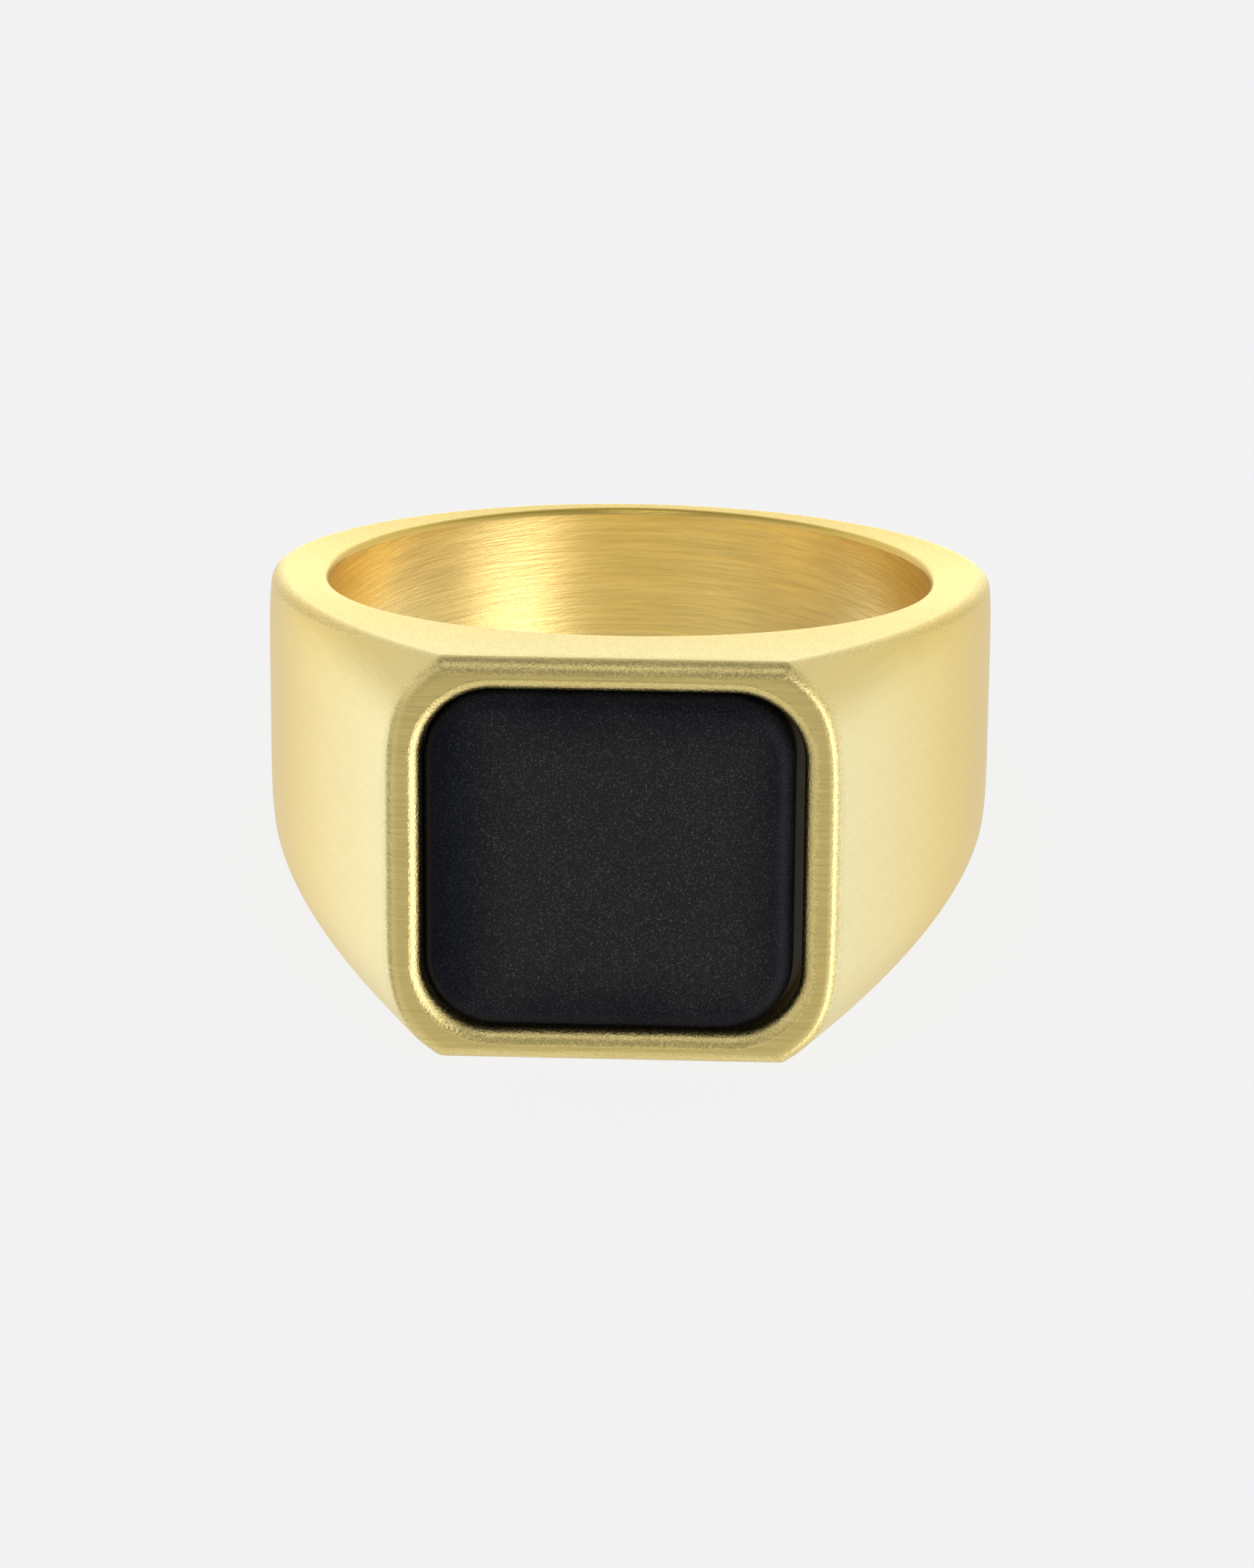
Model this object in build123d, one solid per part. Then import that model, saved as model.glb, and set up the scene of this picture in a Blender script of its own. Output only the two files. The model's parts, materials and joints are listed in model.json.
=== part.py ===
from build123d import *
import math
import os

# A signet ring: a one-piece metal ring whose shoulders rise to a flat, square bezel, and a
# flat onyx plate glued into the bezel's pocket.
#
# The pieces are drawn about the finger hole: +Z along its axis, the bezel facing -Y, the origin
# in the middle of the hole. At the end the whole ring is laid on its side, as it lies on a
# table: it then touches the table along the bezel's lower edge and the back of the band.

# Finger hole
BORE_RADIUS = 9.9            # 19.8 mm across, US size 10
BORE_EDGE_ROUNDING = 0.18

# Outline of the ring at mid height, looking along the finger hole
FACE_DISTANCE = 14.4         # from the hole's axis to the flat face of the bezel
FACE_HALF_WIDTH = 7.0
BAND_HALF_WIDTH = 11.9       # of the whole ring, at its widest
WIDEST_Y = 1.0               # the widest place lies this far behind the axis
BACK_DISTANCE = 11.0         # from the axis to the back of the band
SHOULDER_ANGLE = 25.3        # degrees between the shoulder and the Y axis, where it leaves the face
SHOULDER_REACH = 6.0         # how far the shoulder keeps that direction
HIP_REACH = 4.8              # how far the band's widest part keeps the Y direction

# Height of the ring, along the finger hole: largest at the bezel, smallest at the back
FACE_HALF_HEIGHT = 6.85
MIDDLE_HALF_HEIGHT = 4.39    # level with the hole's axis
BACK_HALF_HEIGHT = 3.08

# The outer wall is crowned: it draws in with a high power of the height
CROWN = 2.0                  # how far it has drawn in at the corners of the face
CROWN_POWER = 6              # an even number

EDGE_ROUNDING = 0.5          # of every outer edge

# Pocket in the bezel
POCKET_HALF_WIDTH = 5.94
POCKET_HALF_HEIGHT = 5.7
POCKET_CORNER_RADIUS = 2.25
POCKET_DEPTH = 1.5
POCKET_EDGE_ROUNDING = 0.48

# What the pocket holds
ADHESIVE_THICKNESS = 0.12
INLAY_HALF_WIDTH = 5.78
INLAY_HALF_HEIGHT = 5.64
INLAY_OFFSET = -0.12         # the plate sits a little to one side of the pocket
INLAY_CORNER_RADIUS = 2.3
INLAY_THICKNESS = 1.26
INLAY_BEVEL_WIDTH = 0.3
INLAY_BEVEL_DEPTH = 0.16

# The blank is drawn taller than the ring, and its sides are then cut to the tapered height.
BLANK_HALF_HEIGHT = 7.5
OVERSHOOT = 1.5              # how far cutting shapes run past the ring

# Weights of a patch's control points in plan: even for a shoulder, a true ellipse for the back
EVEN_WEIGHTS = [1.0, 1.0, 1.0, 1.0]
ARC_WEIGHTS = [1.0, math.sqrt(0.5), 1.0]


def half_height(y):
    """Half of the ring's height at y: a shallow parabola through the three stated heights."""
    front, back = -FACE_DISTANCE, BACK_DISTANCE
    at_front = FACE_HALF_HEIGHT * y * (y - back) / (front * (front - back))
    at_middle = MIDDLE_HALF_HEIGHT * (y - front) * (y - back) / (-front * -back)
    at_back = BACK_HALF_HEIGHT * y * (y - front) / (back * (back - front))
    return at_front + at_middle + at_back


def shoulder_controls(crown):
    """Control points, in plan, of the right shoulder's curve from the face to the widest place,
    drawn in by this much."""
    angle = math.radians(SHOULDER_ANGLE)
    leaving_x = FACE_HALF_WIDTH + SHOULDER_REACH * math.sin(angle)
    leaving_y = -FACE_DISTANCE + SHOULDER_REACH * math.cos(angle)
    curve = [
        (FACE_HALF_WIDTH, -FACE_DISTANCE),
        (leaving_x, leaving_y),
        (BAND_HALF_WIDTH, WIDEST_Y - HIP_REACH),
        (BAND_HALF_WIDTH, WIDEST_Y),
    ]
    return [(x - crown, y) for x, y in curve]


def back_controls(crown):
    """Control points, in plan, of the quarter ellipse from the widest place to the back."""
    x, y = BAND_HALF_WIDTH - crown, BACK_DISTANCE - crown
    return [(x, WIDEST_Y), (x, y), (0, y)]


def crown_rows():
    """Height and crown of the rows of control points that make the crown grow with CROWN_POWER
    of the height, up to CROWN at the corners of the face."""
    at_end = CROWN * (BLANK_HALF_HEIGHT / FACE_HALF_HEIGHT) ** CROWN_POWER
    heights = [BLANK_HALF_HEIGHT * (2 * row / CROWN_POWER - 1) for row in range(CROWN_POWER + 1)]
    return [(height, at_end * (-1) ** row) for row, height in enumerate(heights)]


def wall_patch(controls, weights):
    """One patch of the outer wall, from a function that gives its plan curve's control points."""
    rows = [[(x, y, z) for x, y in controls(crown)] for z, crown in crown_rows()]
    return Face.make_bezier_surface(rows, [weights] * len(rows))


def outer_wall():
    """The outer wall of the blank, without its flat front: two shoulders and two back quarters."""
    right = [wall_patch(shoulder_controls, EVEN_WEIGHTS), wall_patch(back_controls, ARC_WEIGHTS)]
    return [*right, *[patch.mirror(Plane.YZ) for patch in right]]


def blank_end(row):
    """The flat end of the blank at this row of control points."""
    z, crown = crown_rows()[row]
    shoulder = Bezier(*[(x, y, z) for x, y in shoulder_controls(crown)])
    back = Bezier(*[(x, y, z) for x, y in back_controls(crown)], weights=ARC_WEIGHTS)
    left = [curve.mirror(Plane.YZ) for curve in (shoulder, back)]
    return Face(Wire([Line(left[0] @ 0, shoulder @ 0), shoulder, back, *left]))


def blank_front():
    """The flat front of the blank, between the two crowned edges of the shoulders."""
    right = Bezier(*[(*shoulder_controls(crown)[0], z) for z, crown in crown_rows()])
    left = right.mirror(Plane.YZ)
    return Face(Wire([right, Line(right @ 1, left @ 1), left, Line(left @ 0, right @ 0)]))


def blank():
    """The ring's outer form before its sides are cut to height and the finger hole is bored."""
    return Solid(Shell([*outer_wall(), blank_front(), blank_end(0), blank_end(-1)]))


def side_profile():
    """The ring's side view, pulled across its whole width: it tapers from bezel to back."""
    front, back = -FACE_DISTANCE - OVERSHOOT, BACK_DISTANCE + OVERSHOOT
    upper = [(y, half_height(y)) for y in (front, 0, back)]
    lower = [(y, -z) for y, z in reversed(upper)]
    top, bottom = ThreePointArc(*upper), ThreePointArc(*lower)
    outline = [top, Line(top @ 1, bottom @ 0), bottom, Line(bottom @ 1, top @ 0)]
    return extrude(Plane.YZ * make_face(outline), amount=BAND_HALF_WIDTH + OVERSHOOT, both=True)


def rounded_form():
    """The solid ring form with every outer edge rounded: round the bezel, and round both sides."""
    form = blank() & side_profile()
    bezel = form.faces().sort_by(Axis.Y)[0]
    sides = form.faces().filter_by(GeomType.CYLINDER)
    edges = {edge for face in (bezel, *sides) for edge in face.edges()}
    return fillet(edges, EDGE_ROUNDING)


def on_face(depth):
    """A drawing plane parallel to the bezel's face and this deep behind it, looking inwards."""
    return Plane((0, -FACE_DISTANCE + depth, 0), x_dir=(1, 0, 0), z_dir=(0, 1, 0))


def plate(half_width, half_height, corner_radius, depth, thickness):
    """A square plate with round corners, whose outer side is this deep behind the face."""
    outline = RectangleRounded(2 * half_width, 2 * half_height, corner_radius)
    return extrude(on_face(depth) * outline, amount=thickness)


def bore_edges(body):
    """The two closed edges where the finger hole meets the sides of the ring."""
    walls = [face for face in body.faces().filter_by(GeomType.CYLINDER) if is_bore(face)]
    return [edge for wall in walls for edge in wall.edges() if edge.geom_type != GeomType.LINE]


def is_bore(face):
    """True for the wall of the finger hole."""
    return abs(face.radius - BORE_RADIUS) < 0.01


def ring_body():
    """The whole metal ring: band, shoulders and bezel in one piece."""
    body = rounded_form() - Cylinder(BORE_RADIUS, 4 * FACE_HALF_HEIGHT)
    body = fillet(bore_edges(body), BORE_EDGE_ROUNDING)
    body -= plate(POCKET_HALF_WIDTH, POCKET_HALF_HEIGHT, POCKET_CORNER_RADIUS, -1, POCKET_DEPTH + 1)
    mouth = body.faces().sort_by(Axis.Y)[0].inner_wires()[0]
    return fillet(mouth.edges(), POCKET_EDGE_ROUNDING)


def adhesive_bed():
    """A thin layer of epoxy over the floor of the pocket."""
    depth = POCKET_DEPTH - ADHESIVE_THICKNESS
    return plate(POCKET_HALF_WIDTH, POCKET_HALF_HEIGHT, POCKET_CORNER_RADIUS, depth, ADHESIVE_THICKNESS)


def onyx_inlay():
    """The flat onyx plate with a narrow bevel round its face."""
    depth = POCKET_DEPTH - ADHESIVE_THICKNESS - INLAY_THICKNESS
    inlay = plate(INLAY_HALF_WIDTH, INLAY_HALF_HEIGHT, INLAY_CORNER_RADIUS, depth, INLAY_THICKNESS)
    front = inlay.faces().sort_by(Axis.Y)[0]
    inlay = chamfer(front.edges(), INLAY_BEVEL_WIDTH, INLAY_BEVEL_DEPTH, reference=front)
    return Pos(INLAY_OFFSET, 0, 0) * inlay


def rest_angle():
    """How far the ring tips, in degrees, when it lies on its side on the bezel's lower edge and
    the back of the band. Both are rounded alike, so it tips by the slope from one to the other."""
    front = -FACE_DISTANCE + EDGE_ROUNDING
    back = BACK_DISTANCE - EDGE_ROUNDING
    return math.degrees(math.atan2(half_height(front) - half_height(back), back - front))


def laid_on_its_side(pieces):
    """The pieces turned to the rest pose: on the plane z = 0, centred over the origin."""
    tipped = {name: Rot(-rest_angle(), 0, 0) * piece for name, piece in pieces.items()}
    box = tipped["ring_body"].bounding_box()
    shift = Pos(-box.center().X, -box.center().Y, -box.min.Z)
    return {name: shift * piece for name, piece in tipped.items()}


def main():
    pieces = {"ring_body": ring_body(), "adhesive_bed": adhesive_bed(), "onyx_inlay": onyx_inlay()}
    os.makedirs("parts", exist_ok=True)
    for name, piece in laid_on_its_side(pieces).items():
        export_step(piece, f"parts/{name}.step")


main()
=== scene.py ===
import json
import math

import bmesh
import bpy
import numpy as np
from mathutils import Matrix, Vector


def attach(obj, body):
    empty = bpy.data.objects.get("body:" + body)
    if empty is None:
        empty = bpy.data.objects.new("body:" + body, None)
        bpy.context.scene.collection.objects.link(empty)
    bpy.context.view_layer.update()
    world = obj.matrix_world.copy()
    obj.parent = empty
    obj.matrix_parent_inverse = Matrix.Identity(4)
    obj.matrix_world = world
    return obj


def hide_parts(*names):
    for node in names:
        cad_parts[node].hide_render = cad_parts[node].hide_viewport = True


# A gold-tone signet ring with a square black stone, lying on its side on a pale floor.
#
# The ring and the stone are drawn again here as fine meshes with the sizes of their CAD solids.
# Only the edge of the stone's face differs: a soft roll stands in for the plain bevel of the CAD.
# They are drawn in millimetres in the ring's own frame: the origin in the middle of the finger
# hole, +Z along the hole, the bezel facing -Y. to_row() then lays them where the CAD solids are.

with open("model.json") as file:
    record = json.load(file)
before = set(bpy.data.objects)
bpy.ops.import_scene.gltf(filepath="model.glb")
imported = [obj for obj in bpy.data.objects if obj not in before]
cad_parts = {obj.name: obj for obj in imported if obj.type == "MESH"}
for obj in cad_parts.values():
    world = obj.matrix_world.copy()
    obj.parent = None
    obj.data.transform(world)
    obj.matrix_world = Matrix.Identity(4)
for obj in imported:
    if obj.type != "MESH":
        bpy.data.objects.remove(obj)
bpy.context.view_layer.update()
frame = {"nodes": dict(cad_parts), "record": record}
MM = 0.001
SHORTEST = 1e-12

# ---------------------------------------------------------------- sizes, in mm, as in the CAD

BORE_RADIUS = 9.9
BORE_EDGE_ROUNDING = 0.18
FACE_DISTANCE = 14.4        # from the middle of the finger hole
FACE_HALF_WIDTH = 7.0
BAND_HALF_WIDTH = 11.9
WIDEST_Y = 1.0
BACK_DISTANCE = 11.0
SHOULDER_ANGLE = math.radians(25.3)
SHOULDER_REACH = 6.0        # how far the shoulder keeps that direction
HIP_REACH = 4.8             # how far the band's widest part keeps the Y direction
FACE_HALF_HEIGHT = 6.85
MIDDLE_HALF_HEIGHT = 4.39
BACK_HALF_HEIGHT = 3.08
CROWN = 2.0                 # how far the outer wall draws in at the bezel's top
CROWN_POWER = 6
EDGE_ROUNDING = 0.5
POCKET_HALF_WIDTH = 5.94
POCKET_HALF_HEIGHT = 5.7
POCKET_CORNER_RADIUS = 2.25
POCKET_DEPTH = 1.5
POCKET_EDGE_ROUNDING = 0.48
ADHESIVE_THICKNESS = 0.12
INLAY_HALF_WIDTH = 5.78
INLAY_HALF_HEIGHT = 5.64
INLAY_OFFSET = -0.12
INLAY_CORNER_RADIUS = 2.3
INLAY_THICKNESS = 1.26

# ---------------------------------------------------------------- the ring's own frame

HOLE = next(mount for mount in frame["record"]["mounts"] if mount["name"] == "finger_bore")
HOLE_CENTRE = np.array(HOLE["pos_m"])
AXIS_X = np.array([1.0, 0.0, 0.0])
AXIS_Z = np.array(HOLE["axis"]) / np.linalg.norm(HOLE["axis"])
AXIS_Y = np.cross(AXIS_Z, AXIS_X)
RING_AXES = np.array([AXIS_X, AXIS_Y, AXIS_Z])


def to_row(points):
    """Points in the ring's frame, in mm, as points in the row frame, in metres."""
    return HOLE_CENTRE + MM * np.asarray(points) @ RING_AXES


def turned(directions):
    """Directions in the ring's frame as directions in the row frame."""
    return np.asarray(directions) @ RING_AXES


def unit(vectors):
    """The same directions with length 1. A vector of no length stays as it is."""
    return vectors / np.maximum(np.linalg.norm(vectors, axis=-1, keepdims=True), SHORTEST)


# ---------------------------------------------------------------- the ring's form


def half_height(y):
    """Half of the ring's height at y, and its slope there: a parabola through the heights at the
    face, level with the middle of the finger hole, and at the back."""
    front, rear = -FACE_DISTANCE, BACK_DISTANCE
    a = FACE_HALF_HEIGHT / (front * (front - rear))
    b = MIDDLE_HALF_HEIGHT / (front * rear)
    c = BACK_HALF_HEIGHT / (rear * (rear - front))
    value = a * y * (y - rear) + b * (y - front) * (y - rear) + c * y * (y - front)
    slope = a * (2 * y - rear) + b * (2 * y - front - rear) + c * (2 * y - front)
    return value, slope


def shoulder(t):
    """A shoulder in plan, from the bezel's edge to the ring's widest place: place, crown shift,
    tangent, and how the tangent changes with the crown."""
    leaving = np.array([math.sin(SHOULDER_ANGLE), math.cos(SHOULDER_ANGLE)])
    start = np.array([FACE_HALF_WIDTH, -FACE_DISTANCE])
    widest = np.array([BAND_HALF_WIDTH, WIDEST_Y])
    control = [start, start + SHOULDER_REACH * leaving, widest - [0, HIP_REACH], widest]
    t = np.asarray(t)[:, None]
    weights = [(1 - t) ** 3, 3 * t * (1 - t) ** 2, 3 * t**2 * (1 - t), t**3]
    place = sum(weight * point for weight, point in zip(weights, control))
    legs = [after - before for before, after in zip(control, control[1:])]
    tangent = (1 - t) ** 2 * legs[0] + 2 * t * (1 - t) * legs[1] + t**2 * legs[2]
    return place, 0 * t + [-1.0, 0.0], tangent, 0 * tangent


def back(angle):
    """A quarter of the band in plan, from the widest place to the middle of the back."""
    cos, sin = np.cos(angle), np.sin(angle)
    depth = BACK_DISTANCE - WIDEST_Y
    place = np.stack([BAND_HALF_WIDTH * cos, WIDEST_Y + depth * sin], 1)
    tangent = np.stack([-BAND_HALF_WIDTH * sin, depth * cos], 1)
    return place, -np.stack([cos, sin], 1), tangent, np.stack([sin, -cos], 1)


def crown(z):
    """How far the outer wall has drawn in at this height, and its slope."""
    share = z / FACE_HALF_HEIGHT
    slope = CROWN_POWER * CROWN / FACE_HALF_HEIGHT * share ** (CROWN_POWER - 1)
    return CROWN * share**CROWN_POWER, slope


def wall(plan, z):
    """Points of the outer wall at these heights, and their outward normals."""
    place, shift, tangent, change = plan
    drawn_in, slope = crown(z)
    xy = place + drawn_in[:, None] * shift
    tx, ty = (tangent + drawn_in[:, None] * change).T
    rise = tx * slope * shift[:, 1] - ty * slope * shift[:, 0]
    return np.column_stack([xy, z]), unit(np.column_stack([ty, -tx, rise]))


def side_normal(y):
    """The upward normal of the upper side face."""
    slope = half_height(y)[1]
    return unit(np.column_stack([0 * slope, -slope, 0 * slope + 1]))


def ball_centre(plan, z):
    """The middle of a ball of the edge rounding's radius that touches the wall from inside."""
    point, normal = wall(plan, z)
    return point - EDGE_ROUNDING * normal


BISECTIONS = 36


def bisect(low, high, too_high):
    """Where too_high turns true, for arrays of low and high limits."""
    for _ in range(BISECTIONS):
        middle = (low + high) / 2
        over = too_high(middle)
        high, low = np.where(over, middle, high), np.where(over, low, middle)
    return (low + high) / 2


def ball_top(centre):
    """How far above the upper side face a ball with this centre would reach."""
    value, slope = half_height(centre[:, 1])
    return centre[:, 2] + EDGE_ROUNDING * np.sqrt(1 + slope**2) - value


def wall_top(plan):
    """The height at which the outer wall gives way to the rounding below the upper side face."""
    count = len(plan[0])
    limits = np.zeros(count), np.full(count, FACE_HALF_HEIGHT)
    return bisect(*limits, lambda z: ball_top(ball_centre(plan, z)) > 0)


# How finely the skin is divided: half of it in plan, and then round the section
FACE_STEPS, CORNER_STEPS, SHOULDER_STEPS, BACK_STEPS = 46, 8, 84, 78
WALL_STEPS, ROUND_STEPS, SIDE_STEPS, EDGE_STEPS, BORE_STEPS = 60, 7, 12, 4, 26
LEVELS = np.linspace(-1, 1, WALL_STEPS + 1)      # shares of the wall's height
CORNER_LIMIT = 0.5      # the bezel's edge rounding ends before this share of the shoulder's curve


def wall_part(plan_at, low, high, count):
    """A part of the wall between two parameters per level, as rows of points, and the middles of
    the balls that round its upper edge with the wall's normals there."""
    share = np.arange(count) / count
    t = low[:, None] + (high - low)[:, None] * share
    plan = plan_at(t.ravel())
    top = wall_top(plan).reshape(t.shape)
    points, normals = wall(plan, (LEVELS[:, None] * top).ravel())
    points, normals = (values.reshape(*t.shape, 3) for values in (points, normals))
    return points, points[-1] - EDGE_ROUNDING * normals[-1], normals[-1]


def corner_parameters():
    """For each level, where the shoulder gives way to the rounding of the bezel's edge."""
    zero = np.zeros(len(LEVELS))

    def past_the_face(t):
        plan = shoulder(t)
        return ball_centre(plan, LEVELS * wall_top(plan))[:, 1] > EDGE_ROUNDING - FACE_DISTANCE

    return bisect(zero, zero + CORNER_LIMIT, past_the_face)


def corner_part(t):
    """The rounding between the face and a shoulder, from the face's end on."""
    plan = shoulder(t)
    z = LEVELS * wall_top(plan)
    normal = wall(plan, z)[1]
    centre = ball_centre(plan, z)
    forward = np.array([[0.0, -1.0, 0.0]]) + 0 * normal
    directions = turns(forward, normal, CORNER_STEPS)[:-1]
    points = np.stack([centre + EDGE_ROUNDING * way for way in directions], 1)
    normals = np.stack([way[-1] for way in directions])
    return points, centre[-1] + 0 * normals, normals


def face_part(ends):
    """Half of the flat face, from its middle to these end points, one per level."""
    share = np.arange(FACE_STEPS) / FACE_STEPS
    x = ends[:, :1] * share
    middle = LEVELS[:, None] * ends[-1, 2]
    z = middle + (ends[:, 2:] - middle) * share**2
    points = np.stack([x, 0 * x - FACE_DISTANCE, z], 2)
    normals = 0 * points[-1] + [0.0, -1.0, 0.0]
    return points, points[-1] - EDGE_ROUNDING * normals, normals


def outer_wall():
    """The whole outer wall, counter-clockwise from the left end of the face: its points, the
    middles of the balls that round its upper edge, and its normals there."""
    first = corner_parameters()
    zero = 0 * first
    corner = corner_part(first)
    face = face_part(corner[0][:, 0])
    quarter = wall_part(back, zero, zero + math.pi / 2, BACK_STEPS)
    right = [face, corner, wall_part(shoulder, first, zero + 1, SHOULDER_STEPS), quarter]
    back_middle = wall_part(back, zero + math.pi / 2, zero + math.pi / 2, 1)
    half = [np.concatenate(values, axis=-2) for values in zip(*right)]
    flip = np.array([-1.0, 1.0, 1.0])
    left = [values[..., :0:-1, :] * flip for values in half]
    whole = [np.concatenate(values, axis=-2) for values in zip(half, back_middle, left)]
    return [np.roll(values, FACE_STEPS, axis=-2) for values in whole]


def turns(start, end, steps):
    """Directions that turn evenly from start to end, both included."""
    angle = np.arccos(np.clip((start * end).sum(1), -1, 1))[:, None]
    shares = np.linspace(0, 1, steps + 1)
    return [unit(np.sin((1 - s) * angle) * start + np.sin(s * angle) * end) for s in shares]


def upper_rows(centre, normal):
    """The section above the wall, as rows of points and their zones: the rounding, the side face
    and the finger hole's edge."""
    ways = turns(normal, side_normal(centre[:, 1]), ROUND_STEPS)
    outer = [centre + EDGE_ROUNDING * way for way in ways]
    angle = np.arctan2(outer[-1][:, 1], outer[-1][:, 0])
    inward = np.column_stack([-np.cos(angle), -np.sin(angle), 0 * angle])
    edge = -(BORE_RADIUS + BORE_EDGE_ROUNDING) * inward
    value, slope = half_height(edge[:, 1])
    edge[:, 2] = value - BORE_EDGE_ROUNDING * np.sqrt(1 + slope**2)
    ways = turns(side_normal(edge[:, 1]), inward, EDGE_STEPS)
    inner = [edge + BORE_EDGE_ROUNDING * way for way in ways]
    between = []
    for share in np.linspace(0, 1, SIDE_STEPS + 1)[1:-1]:
        point = (1 - share) * outer[-1] + share * inner[0]
        point[:, 2] = half_height(point[:, 1])[0]
        between.append(point)
    plain = SIDE_STEPS + EDGE_STEPS
    zones = ["round"] * (ROUND_STEPS - 1) + ["plain"] * plain + ["bore"]
    return [*outer[1:], *between, *inner], zones


def section_rows():
    """Every row of points round the section, starting at the wall's lower end, and its zone."""
    points, centre, normal = outer_wall()
    upper, upper_zones = upper_rows(centre, normal)
    levels = np.linspace(1, -1, BORE_STEPS + 1)[1:-1]
    bore = [upper[-1] * [1, 1, level] for level in levels]
    lower = [row * [1, 1, -1] for row in reversed(upper)]
    zones = ["plain"] * len(points) + upper_zones + ["bore"] * len(bore) + upper_zones[::-1]
    return [*points, *upper, *bore, *lower], zones


class Sheet:
    """A growing list of points, faces and zone names that ends as one mesh."""

    def __init__(self):
        self.points, self.faces, self.zones = [], [], []

    def add(self, points, zone):
        """Adds points and gives their numbers."""
        first = len(self.points)
        self.points.extend(points)
        self.zones.extend([zone] * len(points))
        return list(range(first, first + len(points)))

    def band(self, outer, inner):
        """Joins two closed loops of as many points with quads."""
        count = len(outer)
        for i in range(count):
            j = (i + 1) % count
            self.faces.append((outer[i], outer[j], inner[j], inner[i]))

    def cap(self, loop, centre):
        """Closes a loop with triangles that meet in one point."""
        count = len(loop)
        self.faces += [(loop[i], loop[(i + 1) % count], centre) for i in range(count)]


def ring_sheet():
    """The ring's skin: a closed tube of sections, with the pocket let into the bezel's face."""
    rows, zones = section_rows()
    sheet = Sheet()
    numbers = np.array([sheet.add(row, zone) for row, zone in zip(rows, zones)])
    row_count, station_count = numbers.shape
    face_end = 2 * FACE_STEPS
    for j in range(row_count):
        for i in range(station_count):
            if i < face_end and j < WALL_STEPS:
                continue
            k, m = (i + 1) % station_count, (j + 1) % row_count
            sheet.faces.append((numbers[j, i], numbers[j, k], numbers[m, k], numbers[m, i]))
    rim = [*numbers[0, :face_end], *numbers[:WALL_STEPS, face_end]]
    rim += [*numbers[WALL_STEPS, face_end:0:-1], *numbers[WALL_STEPS:0:-1, 0]]
    add_pocket(sheet, [int(n) for n in rim])
    return sheet


RIM_STEPS, MOUTH_STEPS, POCKET_STEPS = 5, 12, 5
BOTTOM_SHARES = (0.8, 0.6, 0.4, 0.2)        # of the pocket's outline, for the loops on its bottom


def pocket_core(near):
    """The points of the pocket's core, the square between the middles of its round corners, that
    are closest to these points outside it, and the directions from there to them."""
    radius = POCKET_CORNER_RADIUS
    corner = np.array([POCKET_HALF_WIDTH - radius, POCKET_HALF_HEIGHT - radius])
    core = np.clip(near, -corner, corner)
    return core, unit(near - core)


def add_pocket(sheet, rim):
    """The flat rim of the bezel, the rounded mouth of the pocket, its wall and its bottom."""
    outer = np.array([sheet.points[n] for n in rim])
    core, outward = pocket_core(outer[:, [0, 2]])

    def loop(offset, depth):
        xz = core + (POCKET_CORNER_RADIUS + offset) * outward
        return np.column_stack([xz[:, 0], 0 * xz[:, 0] + depth - FACE_DISTANCE, xz[:, 1]])

    inner = loop(POCKET_EDGE_ROUNDING, 0)
    loops = [((1 - s) * outer + s * inner, "plain") for s in np.linspace(0, 1, RIM_STEPS + 1)[1:]]
    for angle in np.linspace(0, math.pi / 2, MOUTH_STEPS + 1)[1:]:
        offset = POCKET_EDGE_ROUNDING * (1 - math.sin(angle))
        loops.append((loop(offset, POCKET_EDGE_ROUNDING * (1 - math.cos(angle))), "mouth"))
    for depth in np.linspace(POCKET_EDGE_ROUNDING, POCKET_DEPTH, POCKET_STEPS + 1)[1:]:
        loops.append((loop(0, depth), "plain"))
    for share in BOTTOM_SHARES:
        loops.append((loop(0, POCKET_DEPTH) * [share, 1, share], "plain"))
    before = rim
    for points, zone in loops:
        numbers = sheet.add(points, zone)
        sheet.band(before, numbers)
        before = numbers
    middle = sheet.add([[0, POCKET_DEPTH - FACE_DISTANCE, 0]], "plain")[0]
    sheet.cap(before, middle)


# ---------------------------------------------------------------- the stone

STONE_EDGE_STEPS, STONE_CORNER_STEPS = 44, 22


def stone_core():
    """Points round the stone's core, the square between the middles of its round corners, and the
    outward directions there, counter-clockwise as seen from the front."""
    core_x = INLAY_HALF_WIDTH - INLAY_CORNER_RADIUS
    core_z = INLAY_HALF_HEIGHT - INLAY_CORNER_RADIUS
    corners = [(core_x, -core_z), (core_x, core_z), (-core_x, core_z), (-core_x, -core_z)]
    cores, outward = [], []
    for n, corner in enumerate(corners):
        following = corners[(n + 1) % 4]
        for angle in np.linspace(-math.pi / 2, 0, STONE_CORNER_STEPS, endpoint=False):
            turn = angle + n * math.pi / 2
            cores.append(corner)
            outward.append((math.cos(turn), math.sin(turn)))
        turn = n * math.pi / 2
        for share in np.linspace(0, 1, STONE_EDGE_STEPS, endpoint=False):
            cores.append(np.array(corner) * (1 - share) + np.array(following) * share)
            outward.append((math.cos(turn), math.sin(turn)))
    return np.array(cores), np.array(outward)


STONE_ROLL_WIDTH = 0.66      # of the soft roll round the stone's face, in mm
STONE_ROLL_DEPTH = 0.42
STONE_ROLL_STEPS, STONE_SIDE_STEPS = 10, 4
STONE_FACE_SHARES = np.linspace(0.06, 0.96, 16)
STONE_BACK_SHARES = (0.75, 0.5, 0.25)


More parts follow.
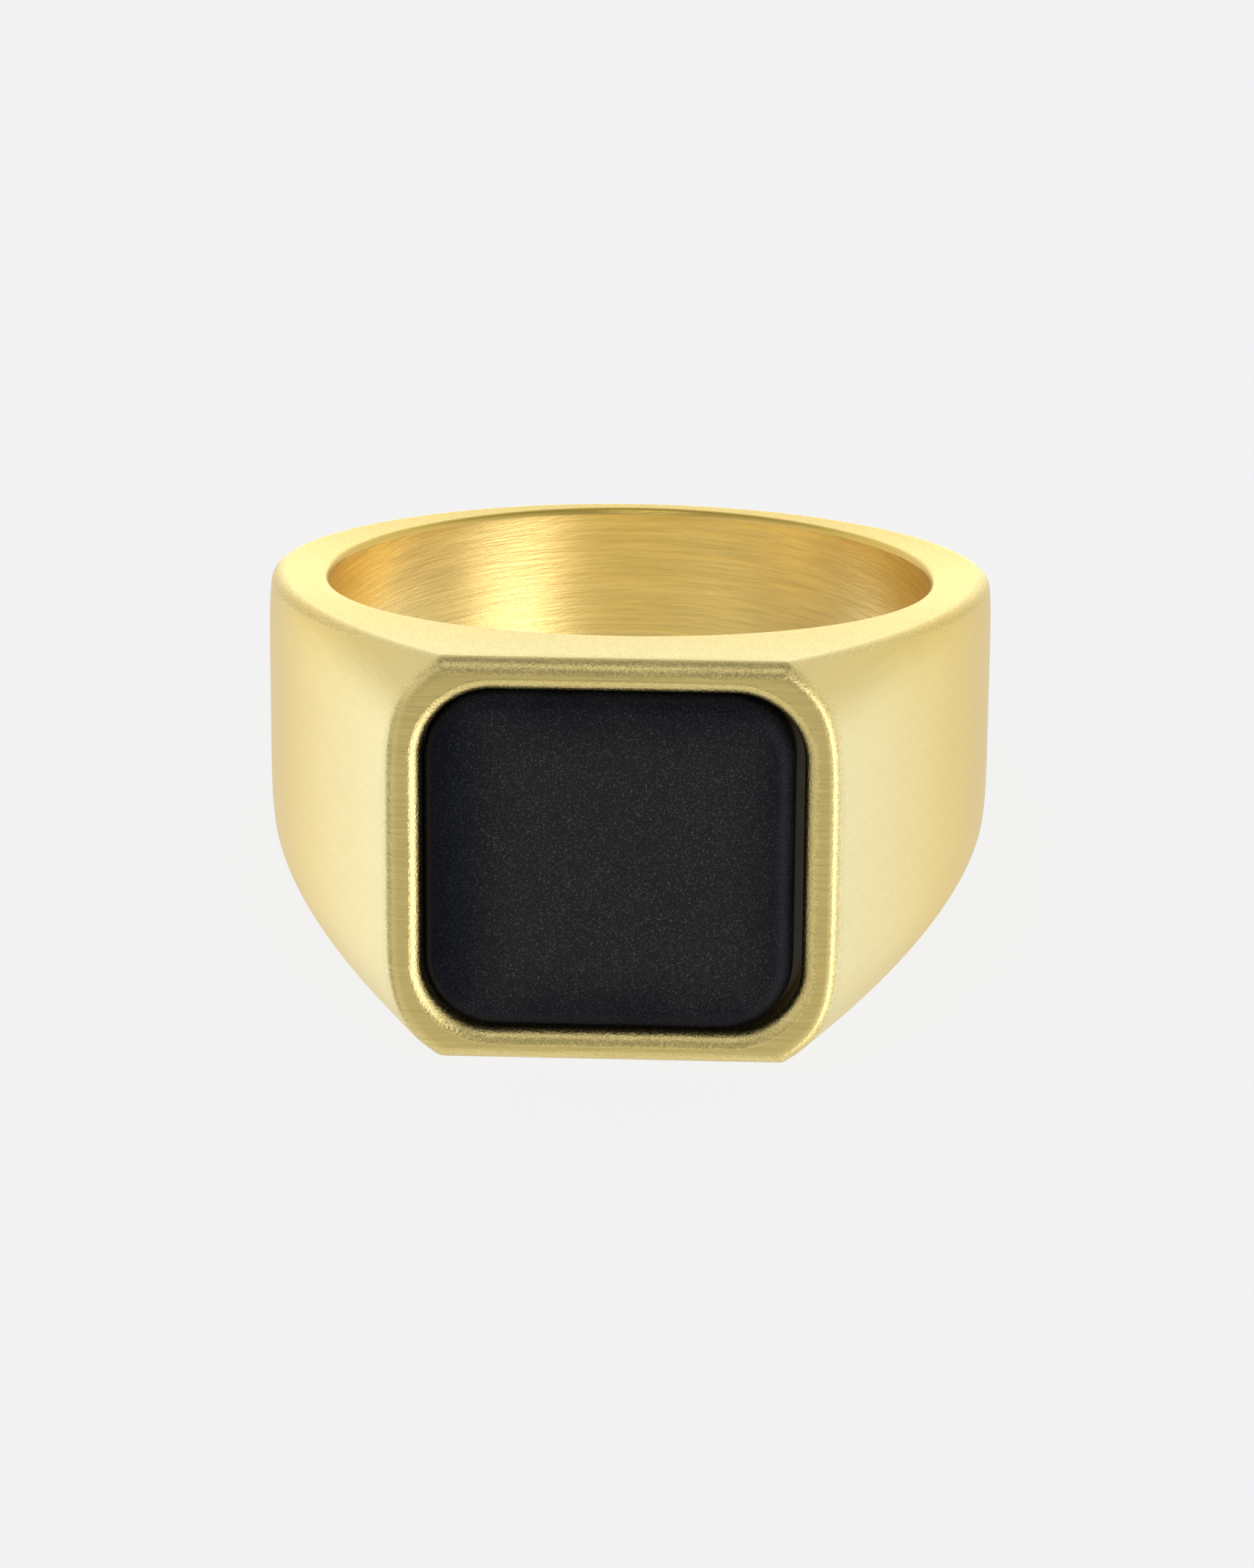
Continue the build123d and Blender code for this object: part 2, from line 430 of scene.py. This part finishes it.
def stone_profile():
    """Offsets from the stone's outline and depths below its face, from where the face starts to
    roll over, along a circle, down the straight side to the stone's back."""
    radius = (STONE_ROLL_WIDTH**2 + STONE_ROLL_DEPTH**2) / (2 * STONE_ROLL_DEPTH)
    across = np.linspace(0, STONE_ROLL_WIDTH, STONE_ROLL_STEPS + 1)
    depth = radius - np.sqrt(radius**2 - across**2)
    side = np.linspace(STONE_ROLL_DEPTH, INLAY_THICKNESS, STONE_SIDE_STEPS + 1)[1:]
    return [*zip(across - STONE_ROLL_WIDTH, depth), *[(0.0, below) for below in side]]


def stone_sheet():
    """The flat stone plate with the soft roll round its face."""
    sheet = Sheet()
    core, outward = stone_core()
    front = POCKET_DEPTH - ADHESIVE_THICKNESS - INLAY_THICKNESS - FACE_DISTANCE

    def loop(offset, depth, share=1.0):
        xz = share * (core + (INLAY_CORNER_RADIUS + offset) * outward)
        return np.column_stack([xz[:, 0] + INLAY_OFFSET, 0 * xz[:, 0] + front + depth, xz[:, 1]])

    face = [loop(-STONE_ROLL_WIDTH, 0, share) for share in STONE_FACE_SHARES]
    edge = [loop(offset, depth) for offset, depth in stone_profile()]
    rear = [loop(0, INLAY_THICKNESS, share) for share in STONE_BACK_SHARES]
    numbers = [sheet.add(points, "plain") for points in [*face, *edge, *rear]]
    middle = sheet.add([[INLAY_OFFSET, front + below, 0] for below in (0, INLAY_THICKNESS)], "plain")
    for before, after in zip(numbers, numbers[1:]):
        sheet.band(after, before)
    sheet.cap(numbers[0], middle[0])
    sheet.cap(numbers[-1][::-1], middle[1])
    return sheet


# ---------------------------------------------------------------- from sheet to object

SAME_POINT = 1e-7       # metres
ZONES = ("bore", "round", "mouth")      # those that the gold reads; all else is "plain"


def grain_directions(points):
    """The direction, in the ring's frame, in which each point of the ring was brushed."""
    grain = np.column_stack([-points[:, 1], points[:, 0], 0 * points[:, 0]])
    flat = points[:, 1] < -FACE_DISTANCE + EDGE_ROUNDING
    grain[flat] = (1, 0, 0)
    return unit(grain)


def make_object(name, sheet):
    """A mesh object of the sheet, riding on the ring's one body. Its points keep their place in the
    ring's frame, the direction in which they were brushed, and a weight for each zone."""
    points = np.array(sheet.points, float)
    used = np.unique([n for face in sheet.faces for n in face])
    renumber = np.full(len(points), -1)
    renumber[used] = np.arange(len(used))
    faces = [[int(renumber[n]) for n in face] for face in sheet.faces]
    points, zones = points[used], np.array(sheet.zones)[used]
    mesh = bpy.data.meshes.new(name)
    mesh.from_pydata(to_row(points).tolist(), [], faces)
    place = mesh.attributes.new("place", "FLOAT_VECTOR", "POINT")
    place.data.foreach_set("vector", points.astype(np.float32).ravel())
    grain = mesh.attributes.new("grain", "FLOAT_VECTOR", "POINT")
    grain.data.foreach_set("vector", turned(grain_directions(points)).astype(np.float32).ravel())
    for zone in ZONES:
        weight = mesh.attributes.new(zone, "FLOAT", "POINT")
        weight.data.foreach_set("value", (zones == zone).astype(np.float32))
    merged = bmesh.new()
    merged.from_mesh(mesh)
    bmesh.ops.remove_doubles(merged, verts=merged.verts, dist=SAME_POINT)
    merged.to_mesh(mesh)
    merged.free()
    mesh.shade_smooth()
    piece = bpy.data.objects.new(name, mesh)
    bpy.context.scene.collection.objects.link(piece)
    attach(piece, "root")
    return piece


# ---------------------------------------------------------------- materials


class Nodes:
    """Short calls that build one material's or one world's nodes."""

    def __init__(self, tree):
        tree.nodes.clear()
        self.tree = tree

    def node(self, kind, **settings):
        made = self.tree.nodes.new(kind)
        for key, value in settings.items():
            setattr(made, key, value)
        return made

    def feed(self, socket, value):
        """Links an output socket to an input, or sets its value."""
        if isinstance(value, bpy.types.NodeSocket):
            self.tree.links.new(value, socket)
        else:
            socket.default_value = value

    def math(self, operation, a, b=0.0, c=0.0):
        made = self.node("ShaderNodeMath", operation=operation)
        for socket, value in zip(made.inputs, (a, b, c)):
            self.feed(socket, value)
        return made.outputs[0]

    def vector(self, operation, a, b=(0.0, 0.0, 0.0), scale=1.0):
        made = self.node("ShaderNodeVectorMath", operation=operation)
        self.feed(made.inputs[0], a)
        if operation == "SCALE":
            self.feed(made.inputs["Scale"], scale)
        else:
            self.feed(made.inputs[1], b)
        return made.outputs["Value" if operation == "DOT_PRODUCT" else "Vector"]

    def attribute(self, name, output="Fac"):
        return self.node("ShaderNodeAttribute", attribute_name=name).outputs[output]

    def split(self, vector):
        """The X, Y and Z of a vector."""
        made = self.node("ShaderNodeSeparateXYZ")
        self.feed(made.inputs[0], vector)
        return made.outputs

    def ramp(self, value, low, high, to_low=0.0, to_high=1.0):
        """Value remapped smoothly from low..high to to_low..to_high, and held beyond."""
        made = self.node("ShaderNodeMapRange", interpolation_type="SMOOTHSTEP")
        for socket, number in zip(made.inputs, (value, low, high, to_low, to_high)):
            self.feed(socket, number)
        return made.outputs[0]

    def mix(self, share, a, b):
        """A colour between a and b. The node's colour sockets are 6 and 7, and 2 going out."""
        made = self.node("ShaderNodeMix", data_type="RGBA")
        for socket, value in zip((made.inputs[0], made.inputs[6], made.inputs[7]), (share, a, b)):
            self.feed(socket, value)
        return made.outputs[2]

    def noise(self, vector, scale=1.0, detail=2.0, roughness=0.5):
        made = self.node("ShaderNodeTexNoise")
        self.feed(made.inputs["Vector"], vector)
        made.inputs["Scale"].default_value = scale
        made.inputs["Detail"].default_value = detail
        made.inputs["Roughness"].default_value = roughness
        return made.outputs["Fac"]

    def bump(self, height, strength, distance, normal=None):
        made = self.node("ShaderNodeBump")
        made.inputs["Strength"].default_value = strength
        made.inputs["Distance"].default_value = distance
        self.feed(made.inputs["Height"], height)
        if normal is not None:
            self.feed(made.inputs["Normal"], normal)
        return made.outputs["Normal"]


def new_material(name):
    material = bpy.data.materials.new(name)
    material.use_nodes = True
    nodes = Nodes(material.node_tree)
    shader = nodes.node("ShaderNodeBsdfPrincipled")
    output = nodes.node("ShaderNodeOutputMaterial")
    nodes.tree.links.new(shader.outputs[0], output.inputs[0])
    return material, nodes, shader


NOISE_MIDDLE = 0.5
GRIT_RANGE = (0.3, 0.7)                     # the values that most of a noise has

GOLD = (0.85, 0.69, 0.28, 1.0)              # from the bezel
SHADED_BAND_GOLD = (0.84, 0.605, 0.14, 1.0)        # to the band: the gold painted deeper and darker there as shade
BAND_SHADE_SPAN = (-14.0, -5.0)                   # mm of y over which the painted shade comes in
# painted light: a brighter gold for the finger hole, for the light inside it
LIT_BORE_GOLD = (0.92, 0.715, 0.27, 1.0)
RIM_END = (0.02, 0.3)                       # mm behind the face, where its brushing ends
CORNER_START = (0.005, 0.04)                # mm behind the face, where its edge's rounding starts
CORNER_END = (0.3, 0.5)                     # and where it ends
RIM_LINES = 0.6                             # depth of the rim's lines beside those in the bore
LONG_LINES, CROSSING_LINES, SLANTED_LINES = 0.7, 0.5, 0.16
LINE_DEPTH, LINE_STRENGTH = 0.00003, 0.5    # metres, and a share of full relief
PIT_DEPTH, PIT_STRENGTH = 0.00004, 0.55
PITS_ON_ROUNDING, PITS_ALL_OVER = 0.8, 0.2
STREAKS_ON_LINES, STREAKS_ALL_OVER = 0.45, 0.12
GOLD_ROUGHNESS = (0.28, 0.4)
ROUNDING_POLISH = -0.1                      # of roughness: the roundings are worn smoother
ANISOTROPY = 0.6
QUARTER_TURN = 0.25                         # spreads the gloss across the brushing


def scratches(nodes, place, along, across, lean=0.0, seed=0.0):
    """Fine parallel scratches round the ring: a noise that changes along times per mm round it and
    across times per mm of height. They climb by lean mm per mm of x."""
    x, y, z = nodes.split(place)
    climb = nodes.math("MULTIPLY_ADD", x, lean, z)
    joined = nodes.node("ShaderNodeCombineXYZ")
    nodes.feed(joined.inputs[0], nodes.math("MULTIPLY_ADD", x, along, seed))
    nodes.feed(joined.inputs[1], nodes.math("MULTIPLY_ADD", y, along, seed))
    nodes.feed(joined.inputs[2], nodes.math("MULTIPLY", climb, across))
    return nodes.noise(joined.outputs[0], scale=1.0, detail=3.0, roughness=0.6)


def gold():
    """Brushed gold-tone metal: scratched round the finger hole and across the bezel, satin on the
    shoulders and the side faces, and finely pitted where the edges are rounded. Its colour holds
    painted shade that deepens it towards the band, painted light that makes the finger hole
    brighter, and painted glints speckled over the rounded edges."""
    material, nodes, shader = new_material("brushed_gold")
    place = nodes.attribute("place", "Vector")
    y = nodes.split(place)[1]
    bore = nodes.attribute("bore")

    def behind_face(band, to_low=0.0, to_high=1.0):
        """A ramp over this band of distances behind the bezel's face."""
        return nodes.ramp(y, -FACE_DISTANCE + band[0], -FACE_DISTANCE + band[1], to_low, to_high)

    rim = behind_face(RIM_END, 1.0, 0.0)
    corner = nodes.math("MULTIPLY", behind_face(CORNER_START), behind_face(CORNER_END, 1.0, 0.0))
    rounding = nodes.math("ADD", nodes.attribute("round"), nodes.attribute("mouth"))
    rounding = nodes.math("MAXIMUM", rounding, corner)

    fine = scratches(nodes, place, along=0.45, across=9.0)
    long = scratches(nodes, place, along=0.12, across=6.0, lean=0.03, seed=5.0)
    crossing = scratches(nodes, place, along=0.5, across=9.0, lean=-0.25, seed=11.0)
    slanted = scratches(nodes, place, along=1.6, across=7.0, lean=0.9, seed=23.0)
    grit = nodes.noise(place, scale=11.0, detail=3.0, roughness=0.7)

    lined = nodes.math("MAXIMUM", bore, nodes.math("MULTIPLY", rim, RIM_LINES))
    lines = nodes.math("MULTIPLY", nodes.math("MULTIPLY_ADD", long, LONG_LINES, fine), lined)
    crossing = nodes.math("MULTIPLY", crossing, bore)
    lines = nodes.math("MULTIPLY_ADD", crossing, CROSSING_LINES, lines)
    lines = nodes.math("MULTIPLY_ADD", slanted, SLANTED_LINES, lines)
    normal = nodes.bump(lines, LINE_STRENGTH, LINE_DEPTH)
    pitted = nodes.math("MULTIPLY_ADD", rounding, PITS_ON_ROUNDING, PITS_ALL_OVER)
    pits = nodes.math("MULTIPLY", grit, pitted)
    normal = nodes.bump(pits, PIT_STRENGTH, PIT_DEPTH, normal)

    streaked = nodes.math("MULTIPLY_ADD", rim, RIM_LINES, bore)
    streaked = nodes.math("MULTIPLY_ADD", streaked, STREAKS_ON_LINES, STREAKS_ALL_OVER)
    bright = nodes.math("MULTIPLY_ADD", nodes.math("SUBTRACT", fine, NOISE_MIDDLE), streaked, 1.0)
    # painted glints: the colour of the rounded edges is speckled lighter and darker
    glint = nodes.math("MULTIPLY", nodes.math("SUBTRACT", grit, NOISE_MIDDLE), rounding)
    bright = nodes.math("ADD", glint, bright)
    # painted shade: the gold deepens and darkens from the bezel towards the band
    tone = nodes.mix(nodes.ramp(y, *BAND_SHADE_SPAN), GOLD, SHADED_BAND_GOLD)
    # painted light: the finger hole gets a brighter gold than the band
    tone = nodes.mix(bore, tone, LIT_BORE_GOLD)
    nodes.feed(shader.inputs["Base Color"], nodes.vector("SCALE", tone, scale=bright))

    dull = nodes.ramp(grit, *GRIT_RANGE, *GOLD_ROUGHNESS)
    dull = nodes.math("MULTIPLY_ADD", rounding, ROUNDING_POLISH, dull)
    nodes.feed(shader.inputs["Roughness"], dull)
    shader.inputs["Metallic"].default_value = 1.0
    shader.inputs["Anisotropic"].default_value = ANISOTROPY
    shader.inputs["Anisotropic Rotation"].default_value = QUARTER_TURN
    nodes.feed(shader.inputs["Tangent"], nodes.attribute("grain", "Vector"))
    nodes.feed(shader.inputs["Normal"], normal)
    return material


BLACK, BLACK_SPECK = (0.013, 0.0135, 0.0135, 1), (0.11, 0.11, 0.115, 1)
# painted shade, tinted blue, for the stone's edges
SHADE_BLUE_BLACK, SHADE_BLUE_SPECK = (0.0001, 0.001, 0.005, 1), (0.03, 0.034, 0.045, 1)
STONE_SHADE_SPAN = (3.0, 6.3)                      # mm from the stone's middle, with the clouds added, over which the painted shade comes in
CLOUD_REACH = 1.2                           # mm by which the clouds shift it
RIGHT_MARGIN, UPRIGHT_MARGIN = 1.0, 0.7     # mm by which the painted shade at the edge is narrower there
SPECK_RANGE = (0.52, 0.78)
STONE_ROUGHNESS = (0.36, 0.5)
STONE_IOR, STONE_GLOSS = 1.54, 0.09
GRAIN_DEPTH, GRAIN_STRENGTH = 0.00002, 0.3


def onyx():
    """Matte black onyx: dense fine specks, with painted shade, tinted blue, towards its edges,
    widest on the left.
    """
    material, nodes, shader = new_material("matte_onyx")
    place = nodes.attribute("place", "Vector")
    x, _, z = nodes.split(place)
    left = nodes.math("SUBTRACT", INLAY_OFFSET, x)
    right = nodes.math("SUBTRACT", x, INLAY_OFFSET + RIGHT_MARGIN)
    upright = nodes.math("SUBTRACT", nodes.math("ABSOLUTE", z), UPRIGHT_MARGIN)
    margin = nodes.math("MAXIMUM", nodes.math("MAXIMUM", left, right), upright)
    cloud = nodes.noise(place, scale=0.5, detail=2.0, roughness=0.5)
    # painted shade: the stone turns bluer and darker towards its edges, least on the right
    edge = nodes.ramp(nodes.math("MULTIPLY_ADD", cloud, CLOUD_REACH, margin), *STONE_SHADE_SPAN)
    grain = nodes.noise(place, scale=15.0, detail=3.0, roughness=0.7)
    speck = nodes.ramp(nodes.noise(place, scale=20.0, detail=2.0, roughness=0.8), *SPECK_RANGE)
    ground = nodes.mix(edge, BLACK, SHADE_BLUE_BLACK)
    bright = nodes.mix(edge, BLACK_SPECK, SHADE_BLUE_SPECK)
    nodes.feed(shader.inputs["Base Color"], nodes.mix(speck, ground, bright))
    nodes.feed(shader.inputs["Roughness"], nodes.ramp(grain, *GRIT_RANGE, *STONE_ROUGHNESS))
    shader.inputs["IOR"].default_value = STONE_IOR
    shader.inputs["Specular IOR Level"].default_value = STONE_GLOSS
    nodes.feed(shader.inputs["Normal"], nodes.bump(grain, GRAIN_STRENGTH, GRAIN_DEPTH))
    return material


DARK_EPOXY, PALE_EPOXY = (0.05, 0.035, 0.015, 1), (0.12, 0.085, 0.035, 1)
EPOXY_ROUGHNESS = (0.15, 0.3)
EPOXY_IOR = 1.5
CLOUDS_PER_METRE = 900.0


def epoxy():
    """Cured epoxy, dark between the stone and the metal."""
    material, nodes, shader = new_material("cured_epoxy")
    coordinates = nodes.node("ShaderNodeTexCoord").outputs["Object"]
    cloud = nodes.noise(coordinates, scale=CLOUDS_PER_METRE, detail=2.0, roughness=0.5)
    nodes.feed(shader.inputs["Base Color"], nodes.mix(cloud, DARK_EPOXY, PALE_EPOXY))
    nodes.feed(shader.inputs["Roughness"], nodes.ramp(cloud, *GRIT_RANGE, *EPOXY_ROUGHNESS))
    shader.inputs["IOR"].default_value = EPOXY_IOR
    return material


# ---------------------------------------------------------------- the stage


def heading(azimuth, elevation):
    """A unit vector, from degrees. Azimuth 0 is towards -Y, 90 towards +X, 180 towards +Y."""
    a, e = math.radians(azimuth), math.radians(elevation)
    return (math.sin(a) * math.cos(e), -math.cos(a) * math.cos(e), math.sin(e))


# Each soft patch of the studio: azimuth, elevation, angle to the end of its even middle, angle to
# its outer edge, all in degrees, and the light that it adds or takes away
PATCHES = [
    (0, -15, 8, 45, (-0.17, -0.18, -0.25)),         # the dark room behind the camera
    (0, 25, 8, 45, (-0.4, -0.4, -0.4)),             # and over it
    (0, 90, 25, 68, (-0.5, -0.5, -0.5)),            # and above the ring
    (-75, -20, 14, 42, (-0.35, -0.35, -0.35)),      # and on its left
    (116, -27, 6, 28, (0.25, 0.35, 0.65)),          # cool reflectors beside and behind the ring
    (-116, -27, 6, 30, (0.4, 0.5, 0.75)),
    (180, -6, 6, 24, (0.7, 0.78, 0.62)),            # the pale wall behind
    (46, -26, 6, 22, (1.85, 1.8, 2.1)),             # a tall soft box on the right
    (42, 2, 7, 22, (1.9, 1.85, 2.1)),
]
STUDIO_LEVEL = 0.82


def studio():
    """The light from all round: an even level, with soft patches added or taken away."""
    world = bpy.data.worlds.new("studio")
    world.use_nodes = True
    nodes = Nodes(world.node_tree)
    looking = nodes.node("ShaderNodeTexCoord").outputs["Generated"]
    level = nodes.node("ShaderNodeCombineXYZ")
    for socket in level.inputs:
        socket.default_value = STUDIO_LEVEL
    light = level.outputs[0]
    for azimuth, elevation, middle, edge, colour in PATCHES:
        nearness = nodes.vector("DOT_PRODUCT", looking, heading(azimuth, elevation))
        limits = math.cos(math.radians(edge)), math.cos(math.radians(middle))
        share = nodes.ramp(nearness, *limits)
        light = nodes.vector("ADD", light, nodes.vector("SCALE", colour, scale=share))
    background = nodes.node("ShaderNodeBackground")
    nodes.feed(background.inputs["Color"], light)
    output = nodes.node("ShaderNodeOutputWorld")
    nodes.tree.links.new(background.outputs[0], output.inputs[0])
    bpy.context.scene.world = world


FLOOR_RADIUS = 0.6               # metres
FLOOR_CORNERS = 128
FLOOR_GREY = 0.08
FLOOR_GLOW = 0.85
FLOOR_ROUGHNESS = 0.9


def floor():
    """The pale floor the ring lies on. It glows, so that it is evenly pale with hardly a shadow. It
    doesn't show in the metal, and it lets the studio's light through from below."""
    bpy.ops.mesh.primitive_circle_add(vertices=FLOOR_CORNERS, radius=FLOOR_RADIUS, fill_type="NGON")
    made = bpy.context.object
    made.name = "floor"
    material, _, shader = new_material("pale_floor")
    shader.inputs["Base Color"].default_value = (FLOOR_GREY, FLOOR_GREY, FLOOR_GREY, 1)
    shader.inputs["Roughness"].default_value = FLOOR_ROUGHNESS
    shader.inputs["Specular IOR Level"].default_value = 0.0
    shader.inputs["Emission Color"].default_value = (1, 1, 1, 1)
    shader.inputs["Emission Strength"].default_value = FLOOR_GLOW
    made.data.materials.append(material)
    made.visible_glossy = False
    made.visible_shadow = False


BOX_AZIMUTH, BOX_ELEVATION = -8, 64
BOX_DISTANCE = 0.4               # metres
BOX_WIDTH, BOX_HEIGHT = 0.16, 0.18
BOX_WATTS = 0.11


def overhead_box():
    """A rectangular soft light that points at the ring from above and in front."""
    data = bpy.data.lights.new("overhead", "AREA")
    data.shape = "RECTANGLE"
    data.size, data.size_y = BOX_WIDTH, BOX_HEIGHT
    data.energy = BOX_WATTS
    box = bpy.data.objects.new("overhead", data)
    bpy.context.scene.collection.objects.link(box)
    away = Vector(heading(BOX_AZIMUTH, BOX_ELEVATION))
    box.location = Vector(HOLE_CENTRE) + BOX_DISTANCE * away
    box.rotation_mode = "QUATERNION"
    box.rotation_quaternion = away.to_track_quat("Z", "Y")


CAMERA_DISTANCE = 220.0          # mm, from the middle of the finger hole
CAMERA_ELEVATION = 21.84         # degrees above the plane of the band
CAMERA_AZIMUTH = 1.92            # degrees towards +X
CAMERA_ROLL = math.radians(0.42)
CAMERA_OFFSET = (0.06, 2.79)     # mm, of the picture's middle from the hole's, across and up
CAMERA_CLIP = (0.01, 10.0)       # metres
LENS, SENSOR_WIDTH = 152.7, 36.0


def camera():
    """The camera, set in the ring's own frame and then turned with it."""
    away = np.array(heading(CAMERA_AZIMUTH, CAMERA_ELEVATION))
    around = math.radians(CAMERA_AZIMUTH)
    level = np.array([math.cos(around), math.sin(around), 0.0])
    upright = np.cross(away, level)
    right = math.cos(CAMERA_ROLL) * level + math.sin(CAMERA_ROLL) * upright
    up = math.cos(CAMERA_ROLL) * upright - math.sin(CAMERA_ROLL) * level
    place = CAMERA_DISTANCE * away - CAMERA_OFFSET[0] * right - CAMERA_OFFSET[1] * up
    data = bpy.data.cameras.new("camera")
    data.lens = LENS
    data.sensor_width = SENSOR_WIDTH
    data.clip_start, data.clip_end = CAMERA_CLIP
    made = bpy.data.objects.new("camera", data)
    bpy.context.scene.collection.objects.link(made)
    axes = Matrix([turned(right), turned(up), turned(away)]).transposed()
    made.matrix_world = Matrix.Translation(Vector(to_row(place))) @ axes.to_4x4()
    bpy.context.scene.camera = made


# ---------------------------------------------------------------- put together


def main():
    ring = make_object("ring", ring_sheet())
    ring.data.materials.append(gold())
    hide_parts("ring_body")
    stone = make_object("stone", stone_sheet())
    stone.data.materials.append(onyx())
    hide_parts("onyx_inlay")
    bed = frame["nodes"]["adhesive_bed"]
    bed.data.materials.clear()
    bed.data.materials.append(epoxy())
    studio()
    floor()
    overhead_box()
    camera()
    bpy.context.scene.view_settings.view_transform = "Standard"


main()
